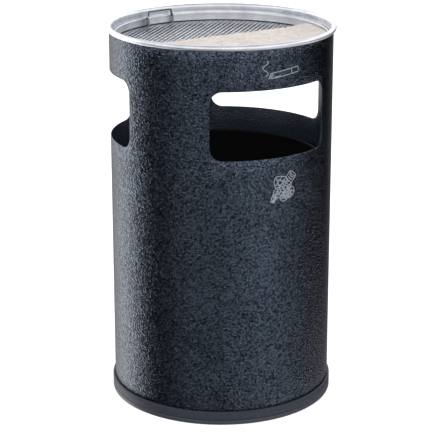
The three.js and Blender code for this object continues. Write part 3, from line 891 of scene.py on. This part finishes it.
def finishedCopy(name, node, body, slot, material, edge):
    # A CAD plate with its flat faces cleaned and its edges eased.
    shape = bmesh.new()
    shape.from_mesh(frame["nodes"][node].data)
    bmesh.ops.remove_doubles(shape, verts=shape.verts, dist=1e-6)
    bmesh.ops.dissolve_limit(shape, angle_limit=math.radians(2), verts=shape.verts, edges=shape.edges)
    piece = objectFrom(name, shape, material)
    ease = piece.modifiers.new("ease", "BEVEL")
    ease.width = edge * mm
    ease.segments = 2
    ease.limit_method = "ANGLE"
    ease.angle_limit = math.radians(50)
    applied(piece, material)
    settle(piece, body, slot, node)


def makeLugs(values):
    for side in ("left", "right"):
        node = f"rear_handle_lug_{side}"
        finishedCopy(f"handle_lug_{side}", node, "sieve", "galvanised_wire", zincWire, values["lugEdge"])


sand = {
    "edge": 13,                        # how far behind the middle the sand reaches
    "turn": 4,                         # degrees, how far its edge is turned from side to side
    "level": 595.7,
    "shoulder": 4,
    "slope": 38,
    "ripple": 0.9,
    "bank": 4.0,
    "spokes": 320,
    "rings": 120,
    "grains": 1500,
    "grainSize": 0.6,
    "spill": 26,
    "seed": 7,
}


def sandHeight(x, y, values, meshLevel, floor):
    # Level over the front half, down through the mesh at the edge, and banked up a little against the rim.
    bends = noise.noise(Vector((x * 45, 3.1, 0.7))) * 1.6
    wander = (bends + noise.noise(Vector((x * 160, 7.7, 1.9))) * 0.7) * mm
    into = values["edge"] * mm + wander - y
    rough = noise.noise(Vector((x * 60, y * 60, 0.3))) + 0.45 * noise.noise(Vector((x * 210, y * 210, 4.2)))
    reach = math.hypot(x, y)
    bank = max(0, min(1, (reach - 0.120) / 0.050)) ** 2 * max(0, x / 0.17) * values["bank"] * mm
    top = (values["level"] + rough * values["ripple"]) * mm + bank
    if into > 0:
        t = min(1, into / (values["shoulder"] * mm))
        return meshLevel + (top - meshLevel) * t * (2 - t)
    drop = meshLevel - floor
    return meshLevel - drop * (-into / (values["slope"] * mm)) ** 0.8


def makeSand(values):
    # The surface and its rim wall are built past the pan's floor, then cut off there and closed.
    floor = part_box("sand_bed")[0].z
    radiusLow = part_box("sand_bed")[1].x
    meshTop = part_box("sieve_mesh")[1]
    radiusHigh = meshTop.x - 0.8 * mm
    shape = bmesh.new()
    centre = shape.verts.new((0, 0, sandHeight(0, 0, values, meshTop.z, floor)))
    rings = []
    for row in range(1, values["rings"] + 1):
        ring = []
        for column in range(values["spokes"]):
            angle = math.tau * column / values["spokes"]
            x = radiusHigh * row / values["rings"] * math.cos(angle)
            y = radiusHigh * row / values["rings"] * math.sin(angle)
            level = sandHeight(x, y, values, meshTop.z, floor)
            ring.append(shape.verts.new((x, y, max(level, floor - 4 * mm))))
        rings.append(ring)
    narrow = radiusLow / radiusHigh
    rings.append([shape.verts.new((v.co.x * narrow, v.co.y * narrow, floor - 5 * mm)) for v in rings[-1]])
    for k in range(values["spokes"]):
        n = (k + 1) % values["spokes"]
        shape.faces.new((centre, rings[0][k], rings[0][n]))
        for inner, outer in zip(rings, rings[1:]):
            shape.faces.new((inner[k], outer[k], outer[n], inner[n]))
    everything = shape.verts[:] + shape.edges[:] + shape.faces[:]
    bmesh.ops.bisect_plane(shape, geom=everything, plane_co=(0, 0, floor), plane_no=(0, 0, 1),
                           clear_inner=True)
    bmesh.ops.holes_fill(shape, edges=[e for e in shape.edges if e.is_boundary])
    piece = finishMesh(objectFrom("loose_sand", shape, sandFinish), sandFinish, 80)
    piece.data.transform(Matrix.Rotation(math.radians(values["turn"]), 4, "Z"))
    settle(piece, "tray", "sand", "sand_bed", "sand_cover")


def grainTree():
    # Loose grains on the mesh, thickest along the sand's edge.
    tree, given = nodeTree("looseGrains", {
        "Count": ("NodeSocketInt", 100),
        "Radius": ("NodeSocketFloat", 0.16),
        "Edge": ("NodeSocketFloat", 0.0),
        "Spill": ("NodeSocketFloat", 0.02),
        "Level": ("NodeSocketFloat", 0.0),
        "Grain Size": ("NodeSocketFloat", 0.001),
        "Seed": ("NodeSocketInt", 1),
        "Material": ("NodeSocketMaterial", None),
    })
    spots = addNode(tree, "GeometryNodePoints", None, {"Count": given.outputs["Count"]})
    across = addNode(tree, "FunctionNodeRandomValue", {"data_type": "FLOAT"},
                     {"ID": addNode(tree, "GeometryNodeInputIndex"), "Seed": given.outputs["Seed"]})
    across.inputs[2].default_value = -1
    away = addNode(tree, "FunctionNodeRandomValue", {"data_type": "FLOAT"})
    other = addNode(tree, "ShaderNodeMath", {"operation": "ADD"}, {0: given.outputs["Seed"], 1: 1.0})
    tree.links.new(other.outputs[0], away.inputs["Seed"])
    thinning = addNode(tree, "ShaderNodeMath", {"operation": "POWER"}, {0: away.outputs[1], 1: 2.2})
    back = addNode(tree, "ShaderNodeMath", {"operation": "MULTIPLY_ADD"},
                   {0: thinning, 1: given.outputs["Spill"], 2: given.outputs["Edge"]})
    aside = addNode(tree, "ShaderNodeMath", {"operation": "MULTIPLY"},
                    {0: across.outputs[1], 1: given.outputs["Radius"]})
    place = addNode(tree, "ShaderNodeCombineXYZ", None,
                    {"X": aside, "Y": back, "Z": given.outputs["Level"]})
    placed = addNode(tree, "GeometryNodeSetPosition", None, {"Geometry": spots, "Position": place})
    flat = addNode(tree, "ShaderNodeCombineXYZ", None, {"X": aside, "Y": back})
    reach = addNode(tree, "ShaderNodeVectorMath", {"operation": "LENGTH"}, {0: flat})
    outside = addNode(tree, "FunctionNodeCompare", {"data_type": "FLOAT", "operation": "GREATER_THAN"},
                      {0: reach.outputs["Value"], 1: given.outputs["Radius"]})
    kept = addNode(tree, "GeometryNodeDeleteGeometry", None,
                   {"Geometry": placed, "Selection": outside})
    grain = addNode(tree, "GeometryNodeMeshIcoSphere", None,
                    {"Radius": given.outputs["Grain Size"], "Subdivisions": 1})
    varied = addNode(tree, "FunctionNodeRandomValue", {"data_type": "FLOAT_VECTOR"})
    varied.inputs[0].default_value = (0.6, 0.6, 0.5)
    varied.inputs[1].default_value = (1.4, 1.2, 1.0)
    copies = addNode(tree, "GeometryNodeInstanceOnPoints", None,
                     {"Points": kept, "Instance": grain, "Scale": varied})
    endTree(tree, copies)
    return tree


def makeGrains(values):
    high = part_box("sieve_mesh")[1]
    piece = grown("loose_grains", grainTree(), {
        "Count": values["grains"], "Radius": high.x - 6 * mm, "Edge": (values["edge"] - 1) * mm,
        "Spill": values["spill"] * mm, "Level": high.z + 0.6 * mm, "Grain Size": values["grainSize"] * mm,
        "Seed": values["seed"],
    }, sandFinish, 80)
    piece.data.transform(Matrix.Rotation(math.radians(values["turn"]), 4, "Z"))
    settle(piece, "sieve", "sand")


makeTray(tray)
makeHoop(hoop)
makeWeave(weave)
makeHandle(handle)
makeLugs(handle)
makeSand(sand)
makeGrains(sand)
print("ash tray, sieve and sand laid in")


bucket = {
    "sheet": 1.0,
    "bead": 2.0,
    "hoops": (130, 270),               # levels of the pressed stiffening beads
    "hoopDepth": 1.2,
    "hoopHalf": 4,
}


def makeLinerWall(values):
    # Rolled sheet with a wired rim and two pressed stiffening beads.
    low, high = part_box("liner_wall")
    sheet = values["sheet"] * mm
    bead = values["bead"] * mm
    middle = high.x - 2 * bead - sheet / 2 + 1 * mm
    rim = (high.x - bead, high.z - bead)
    path = [(middle, low.z)]
    for level in values["hoops"]:
        for step in range(9):
            t = step / 8
            bulge = values["hoopDepth"] * mm * math.sin(math.pi * t)
            path.append((middle - bulge, (level + values["hoopHalf"] * (2 * t - 1)) * mm))
    path += arcPoints(rim, bead - sheet / 2, 205, -150, 20)
    piece = turned("bucket_wall", sheetOutline(path, sheet), linerCoat)
    settle(piece, "liner", "liner_black", "liner_wall")


def makeLinerBottom():
    low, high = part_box("liner_bottom")
    sheet = 1.0 * mm
    wall = high.x - sheet / 2
    path = [(0, low.z + sheet / 2), (wall, low.z + sheet / 2), (wall, high.z)]
    piece = turned("bucket_bottom", sheetOutline(rounded(path, 3 * mm, 5), sheet), linerCoat)
    settle(piece, "liner", "liner_black", "liner_bottom")


def makeEars():
    for side in ("left", "right"):
        finishedCopy(f"bucket_ear_{side}", f"liner_ear_{side}", "liner", "liner_black", linerCoat, 0.5)


def makeEarRivets():
    # Two rivets through each ear, made on the right side and turned round for the left.
    low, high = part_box("ear_rivet_right_1")
    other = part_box("ear_rivet_right_2")
    grip = high.x - low.x - 2.1 * mm
    seed = rivetSeed({**rivets, "headHeight": 0.95}, grip)
    reach = [(box[0].y + box[1].y) / 2 for box in ((low, high), other)]
    inside = low.x + 1.0 * mm
    level = (low.z + high.z) / 2
    for side, turn in (("right", 0), ("left", math.pi)):
        shape = bmesh.new()
        for y in reach:
            copy = seed.data.copy()
            copy.transform(Matrix.Rotation(turn, 4, "Z") @ Matrix.Translation((inside, y, level)))
            shape.from_mesh(copy)
        piece = objectFrom(f"ear_rivets_{side}", shape, zincRivet)
        settle(piece, "liner", "rivet_steel", f"ear_rivet_{side}_1", f"ear_rivet_{side}_2")
    bpy.data.objects.remove(seed)


bail = {
    "bend": 5,
    "gripAngle": 32,
    "gripRadius": 4.8,
    "gripBore": 2.6,
    "ridges": 14,
}


def makeBail(values):
    # The bucket's wire handle lies round the front; its ends turn in to the ears.
    low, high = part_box("liner_bail")
    wire = (high.z - low.z) / 2
    radius = high.x - wire
    level = (high.z + low.z) / 2
    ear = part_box("liner_ear_right")[0].x + 0.3 * mm
    ends = [(ear, 0), (radius, 0)]
    turns = [math.radians(a) for a in range(-3, -178, -3)]
    ring = [(radius * math.cos(a), radius * math.sin(a)) for a in turns]
    flat = rounded([ends[0], ends[1], ring[0]], values["bend"] * mm, 5)
    mirrored = [(-x, y) for x, y in reversed(flat)]
    points = [(x, y, level) for x, y in flat[:-1] + ring + mirrored[1:]]
    piece = wirePiece("bucket_bail", points, wire, 2.5 * mm, zincWire)
    settle(piece, "liner_bail", "galvanised_wire", "liner_bail")


def makeGrip(values):
    # A ribbed sleeve round the wire.
    low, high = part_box("bail_grip")
    wireLow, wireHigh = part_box("liner_bail")
    radius = wireHigh.x - (wireHigh.z - wireLow.z) / 2
    level = (low.z + high.z) / 2
    shape = bmesh.new()
    around = 20
    steps = values["ridges"] * 6
    half = math.radians(values["gripAngle"] / 2)
    loops = []
    for i in range(steps + 1):
        t = i / steps
        ends = min(1, min(t, 1 - t) * steps / 4) ** 0.5
        rib = 0.35 * abs(math.sin(math.pi * t * values["ridges"]))
        outer = (values["gripRadius"] - 0.8 + 0.45 * ends + rib * ends) * mm
        loops.append((math.radians(-90) - half + 2 * half * t, outer))
    bore = values["gripBore"] * mm
    loops = [(loops[0][0], bore)] + loops + [(loops[-1][0], bore)]
    rings = []
    for turn, size in loops:
        ring = []
        for k in range(around):
            phase = math.tau * k / around
            out = radius + size * math.cos(phase)
            lift = size * math.sin(phase)
            ring.append(shape.verts.new((out * math.cos(turn), out * math.sin(turn), level + lift)))
        rings.append(ring)
    for first, second in zip(rings, rings[1:] + rings[:1]):
        for k in range(around):
            n = (k + 1) % around
            shape.faces.new((first[k], second[k], second[n], first[n]))
    piece = finishMesh(objectFrom("bail_sleeve", shape, gripPlastic), gripPlastic, 40)
    settle(piece, "liner_bail", "grip_plastic", "bail_grip")


makeLinerWall(bucket)
makeLinerBottom()
makeEars()
makeEarRivets()
makeBail(bail)
makeGrip(bail)
print("liner bucket hung")


prints = {
    "lineWidth": 1.4,                  # mm
    "filmThickness": 0.16,
    "creaseSeed": 5,
}


def printTree():
    # Flat strokes drawn on a plane become ribbons of ink that lie round the shell.
    tree, given = nodeTree("printedStrokes", {
        "Strokes": ("NodeSocketObject", None),
        "Line Width": ("NodeSocketFloat", 0.001),
        "Thickness": ("NodeSocketFloat", 0.0002),
        "Radius": ("NodeSocketFloat", 0.18),
        "Heading": ("NodeSocketFloat", 0.0),
        "Level": ("NodeSocketFloat", 0.0),
        "Material": ("NodeSocketMaterial", None),
    })
    source = addNode(tree, "GeometryNodeObjectInfo", None, {"Object": given.outputs["Strokes"]})
    curve = addNode(tree, "GeometryNodeMeshToCurve", None, {"Mesh": source.outputs["Geometry"]})
    ribbon = addNode(tree, "GeometryNodeCurvePrimitiveQuadrilateral", None,
                     {"Width": given.outputs["Line Width"], "Height": given.outputs["Thickness"]})
    flat = addNode(tree, "GeometryNodeCurveToMesh", None,
                   {"Curve": curve, "Profile Curve": ribbon, "Fill Caps": True})
    axes = addNode(tree, "ShaderNodeSeparateXYZ", None,
                   {"Vector": addNode(tree, "GeometryNodeInputPosition")})
    turn = addNode(tree, "ShaderNodeMath", {"operation": "DIVIDE"},
                   {0: axes.outputs["X"], 1: given.outputs["Radius"]})
    angle = addNode(tree, "ShaderNodeMath", {"operation": "ADD"}, {0: turn, 1: given.outputs["Heading"]})
    reach = addNode(tree, "ShaderNodeMath", {"operation": "ADD"},
                    {0: axes.outputs["Z"], 1: given.outputs["Radius"]})
    level = addNode(tree, "ShaderNodeMath", {"operation": "ADD"},
                    {0: axes.outputs["Y"], 1: given.outputs["Level"]})
    cosine = addNode(tree, "ShaderNodeMath", {"operation": "COSINE"}, {0: angle})
    sine = addNode(tree, "ShaderNodeMath", {"operation": "SINE"}, {0: angle})
    x = addNode(tree, "ShaderNodeMath", {"operation": "MULTIPLY"}, {0: cosine, 1: reach})
    y = addNode(tree, "ShaderNodeMath", {"operation": "MULTIPLY"}, {0: sine, 1: reach})
    spot = addNode(tree, "ShaderNodeCombineXYZ", None, {"X": x, "Y": y, "Z": level})
    wrapped = addNode(tree, "GeometryNodeSetPosition", None, {"Geometry": flat, "Position": spot})
    endTree(tree, wrapped)
    return tree


def placedAt(points, centre, tilt=0):
    turn = Matrix.Rotation(math.radians(tilt), 2)
    return [tuple(Vector(centre) + turn @ Vector(point)) for point in points]


def evenly(points, step=1.6):
    # Long straight stretches get points between, so that the ribbon can follow the shell.
    path = [points[0]]
    for start, end in zip(points, points[1:]):
        count = max(1, math.ceil((Vector(end) - Vector(start)).length / step))
        path += [tuple(Vector(start).lerp(Vector(end), i / count)) for i in range(1, count + 1)]
    return path


def inkPiece(name, strokes, node):
    low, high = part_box(node)
    radius = math.hypot(high.x, low.y) if low.x > 0 else -low.y
    heading = (math.asin(low.x / radius) + math.asin(high.x / radius)) / 2 - math.pi / 2
    points = []
    edges = []
    for stroke in strokes:
        dense = evenly(stroke)
        first = len(points)
        points += [(u * mm, v * mm, 0) for u, v in dense]
        edges += [(first + i, first + i + 1) for i in range(len(dense) - 1)]
    data = bpy.data.meshes.new("strokes")
    data.from_pydata(points, edges, [])
    source = bpy.data.objects.new("strokes", data)
    bpy.context.scene.collection.objects.link(source)
    piece = grown(name, printTree(), {
        "Strokes": source, "Line Width": prints["lineWidth"] * mm, "Thickness": prints["filmThickness"] * mm,
        "Radius": radius - 0.15 * mm, "Heading": heading, "Level": (low.z + high.z) / 2,
    }, ink)
    bpy.data.objects.remove(source)
    settle(piece, "housing", "print", node)


def cigaretteStrokes():
    # A plain outline with a filter band, a burning tip and a wisp of smoke.
    length = 53
    width = 8.4
    band = 40
    corner = (-20.5, -10.5)
    tilt = 7
    outline = [(3, 0), (length, 0), (length + 1, width / 2), (length, width), (4, width)]
    strokes = [outline, [(band, 0), (band + 1, width / 2), (band, width)]]
    strokes += [[(3 + 2.2 * i - 2, 0), (5 + 2.2 * i - 2, width)] for i in range(3)]
    strokes += [[(-1, 0.5), (2, width * 0.7)], [(9, 1.6), (20, 1.6)]]
    strokes = [placedAt(stroke, corner, tilt) for stroke in strokes]
    wisp = [(-27 + 4.4 * math.sin(i * 0.42), -6 + 1.15 * i) for i in range(22)]
    return strokes + [wisp]


def crumpledPaper(centre, radius, corners):
    rim = []
    for i in range(corners + 1):
        angle = math.tau * (i % corners) / corners
        reach = radius * (1 + 0.5 * noise.noise(Vector((i % corners * 1.7, prints["creaseSeed"], 0.5))))
        rim.append((reach * math.cos(angle), reach * math.sin(angle)))
    strokes = [rim]
    for i in range(0, corners, 2):
        far = rim[(i + 3) % corners]
        fold = (far[0] * 0.35, far[1] * 0.35)
        strokes.append([rim[i], fold, (rim[(i + 4) % corners][0] * 0.6, rim[(i + 4) % corners][1] * 0.6)])
    return [placedAt(stroke, centre) for stroke in strokes]


def drinkCan(centre, width, tall, tilt):
    half = width / 2
    lid = [(half * math.cos(a), tall / 2 + 2.2 * math.sin(a)) for a in (math.tau * i / 16 for i in range(17))]
    halfTurn = [math.pi * (1 + i / 8) for i in range(9)]
    foot = [(half * math.cos(a), -tall / 2 + 2.2 * math.sin(a)) for a in halfTurn]
    sides = [[(side * half, -tall / 2), (side * half, tall / 2)] for side in (-1, 1)]
    dents = [[(-half * 0.6, tall * t), (half * 0.1, tall * (t - 0.08)), (half * 0.7, tall * t)]
             for t in (-0.25, 0, 0.25)]
    return [placedAt(stroke, centre, tilt) for stroke in [lid, foot, *sides, *dents]]


def foldedCarton(centre, width, tall, tilt):
    x = width / 2
    y = tall / 2
    outline = [(-x, -y), (x * 0.9, -y), (x, y), (-x * 0.7, y), (-x, -y)]
    flap = [(-x * 0.7, y), (-x * 0.2, y + 4), (x * 0.8, y + 4), (x, y)]
    label = [[(-x * 0.45, -y * 0.45 + 1.2 * i), (x * 0.6, -y * 0.45 + 1.2 * i)] for i in range(6)]
    return [placedAt(stroke, centre, tilt) for stroke in [outline, flap, *label]]


def crushedCup(centre, width, tall, tilt):
    x = width / 2
    y = tall / 2
    outline = [(-x * 0.7, -y), (x * 0.6, -y), (x, y), (x * 0.3, y - 2), (-x * 0.2, y + 1), (-x, y),
               (-x * 0.7, -y)]
    ribs = [[(x * t * 0.7, -y), (x * t * 0.5 + 1, 0), (x * t, y - 1)] for t in (-0.5, 0, 0.5)]
    return [placedAt(stroke, centre, tilt) for stroke in [outline, *ribs]]


def litterStrokes():
    # A heap of crumpled paper, a can, a carton and a cup.
    heap = crumpledPaper((-6, 9), 12, 11) + crumpledPaper((4, 0), 11, 9)
    heap += crumpledPaper((11, -9), 10, 9) + crumpledPaper((-9, -7), 10, 7) + crumpledPaper((2, -15), 8, 7)
    heap += drinkCan((13, 14), 15, 16, -40)
    heap += foldedCarton((8, -12), 12, 9, 12)
    heap += crushedCup((-17, -16), 9, 12, -24)
    return heap


inkPiece("cigarette_print", cigaretteStrokes(), "cigarette_pictogram")
inkPiece("litter_print", litterStrokes(), "litter_pictogram")
print("pictograms printed")


studio = {
    "floorReach": 12,                  # metres
    "highLight": (1.75, 1.75, 1.77, 1),
    "ceilingLight": (0.5, 0.5, 0.54, 1),
    "floorGlow": 0.6,                  # keeps the floor as pale as the backdrop
    "white": 1.0,
    "upper": [(-180, 0.3), (-158, 0.35), (-136, 1.3), (-126, 2.3), (-115, 3.3), (-108, 3.0), (-101, 1.0),
              (-90, 0.2), (-82, 0.03), (-66, 0.03), (-56, 0.12), (-47, 0.32), (-36, 0.62), (-26, 0.72),
              (-10, 0.45), (5, 0.46), (22, 0.78), (38, 1.02), (56, 0.9), (68, 0.62), (82, 0.3),
              (98, 0.06), (117, 0.0), (150, 0.0), (180, 0.4)],
    "lower": [(-180, 0.3), (-158, 0.35), (-136, 1.3), (-126, 2.3), (-115, 3.3), (-108, 3.0), (-101, 1.0),
              (-90, 0.2), (-82, 0.03), (-66, 0.03), (-56, 0.1), (-36, 0.2), (-10, 0.25), (22, 0.38),
              (38, 0.42), (56, 0.72), (68, 0.8), (98, 0.85), (117, 0.9), (135, 0.7), (150, 0.4), (180, 0.4)],
}


def azimuthRamp(tree, turn, stops):
    ramp = addNode(tree, "ShaderNodeValToRGB", None, {"Fac": turn})
    strongest = max(strength for angle, strength in stops)
    # The strong light is a little warmer than the faint light from the walls.
    parts = [(angle, strength / strongest) for angle, strength in stops]
    rampColours(ramp, [((angle + 180) / 360, (p, p * (1 - 0.03 * p), p * (1 - 0.1 * p), 1))
                       for angle, p in parts])
    scaled = addNode(tree, "ShaderNodeMix", {"data_type": "RGBA", "blend_type": "MULTIPLY"}, {0: 1.0})
    tree.links.new(ramp.outputs["Color"], scaled.inputs[6])
    scaled.inputs[7].default_value = (strongest, strongest, strongest * 1.03, 1)
    return scaled.outputs[2]


def makeStudio(values):
    # Light comes from all round and changes with direction: strongest at the left, faint at the back.
    # What the camera sees directly is plain white.
    scene = bpy.context.scene
    scene.view_settings.view_transform = "Standard"
    world = bpy.data.worlds.new("studio")
    scene.world = world
    world.use_nodes = True
    tree = world.node_tree
    around = addNode(tree, "ShaderNodeTexCoord").outputs["Generated"]
    facing = addNode(tree, "ShaderNodeVectorRotate", {"rotation_type": "Z_AXIS"},
                     {"Vector": around, "Angle": math.radians(-viewCamera["turn"])})
    axes = addNode(tree, "ShaderNodeSeparateXYZ", None, {"Vector": facing})
    towards = addNode(tree, "ShaderNodeMath", {"operation": "MULTIPLY"}, {0: axes.outputs["Y"], 1: -1.0})
    angle = addNode(tree, "ShaderNodeMath", {"operation": "ARCTAN2"}, {0: axes.outputs["X"], 1: towards})
    turn = addNode(tree, "ShaderNodeMapRange", None,
                   {"Value": angle, "From Min": -math.pi, "From Max": math.pi})
    upper = azimuthRamp(tree, turn.outputs["Result"], values["upper"])
    lower = azimuthRamp(tree, turn.outputs["Result"], values["lower"])
    sink = addNode(tree, "ShaderNodeMapRange", None,
                   {"Value": axes.outputs["Z"], "From Min": -0.436, "From Max": -0.369, "To Min": 1.0,
                    "To Max": 0.0})
    walls = addNode(tree, "ShaderNodeMix", {"data_type": "RGBA"}, {0: sink.outputs["Result"]})
    tree.links.new(upper, walls.inputs[6])
    tree.links.new(lower, walls.inputs[7])
    high = addNode(tree, "ShaderNodeMapRange", None,
                   {"Value": axes.outputs["Z"], "From Min": 0.04, "From Max": 0.24})
    room = addNode(tree, "ShaderNodeMix", {"data_type": "RGBA"}, {0: high.outputs["Result"]})
    tree.links.new(walls.outputs[2], room.inputs[6])
    room.inputs[7].default_value = values["highLight"]
    top = addNode(tree, "ShaderNodeMapRange", None,
                  {"Value": axes.outputs["Z"], "From Min": 0.5, "From Max": 0.75})
    ceiling = addNode(tree, "ShaderNodeMix", {"data_type": "RGBA"}, {0: top.outputs["Result"]})
    tree.links.new(room.outputs[2], ceiling.inputs[6])
    ceiling.inputs[7].default_value = values["ceilingLight"]
    light = tree.nodes["Background"]
    tree.links.new(ceiling.outputs[2], light.inputs["Color"])
    backdrop = addNode(tree, "ShaderNodeBackground", None,
                       {"Color": (1, 1, 1, 1), "Strength": values["white"]})
    seen = addNode(tree, "ShaderNodeLightPath")
    shown = addNode(tree, "ShaderNodeMixShader", None, {0: seen.outputs["Is Camera Ray"], 1: light,
                                                       2: backdrop})
    tree.links.new(shown.outputs[0], tree.nodes["World Output"].inputs["Surface"])
    shape = bmesh.new()
    bmesh.ops.create_circle(shape, cap_ends=True, segments=64, radius=values["floorReach"])
    floor = objectFrom("studioFloor", shape, studioFloorPaint(values["floorGlow"]))
    floor.visible_glossy = False


def studioFloorPaint(glow):
    # Matt white floor; a little light of its own keeps it as pale as the backdrop.
    material, _, shader = newMaterial("mattWhiteFloor", {"Roughness": 1.0, "Specular IOR Level": 0.0})
    shader.inputs["Base Color"].default_value = (0.8, 0.8, 0.8, 1)
    shader.inputs["Emission Color"].default_value = (1, 1, 1, 1)
    shader.inputs["Emission Strength"].default_value = glow
    return material


makeStudio(studio)
print("studio lit")
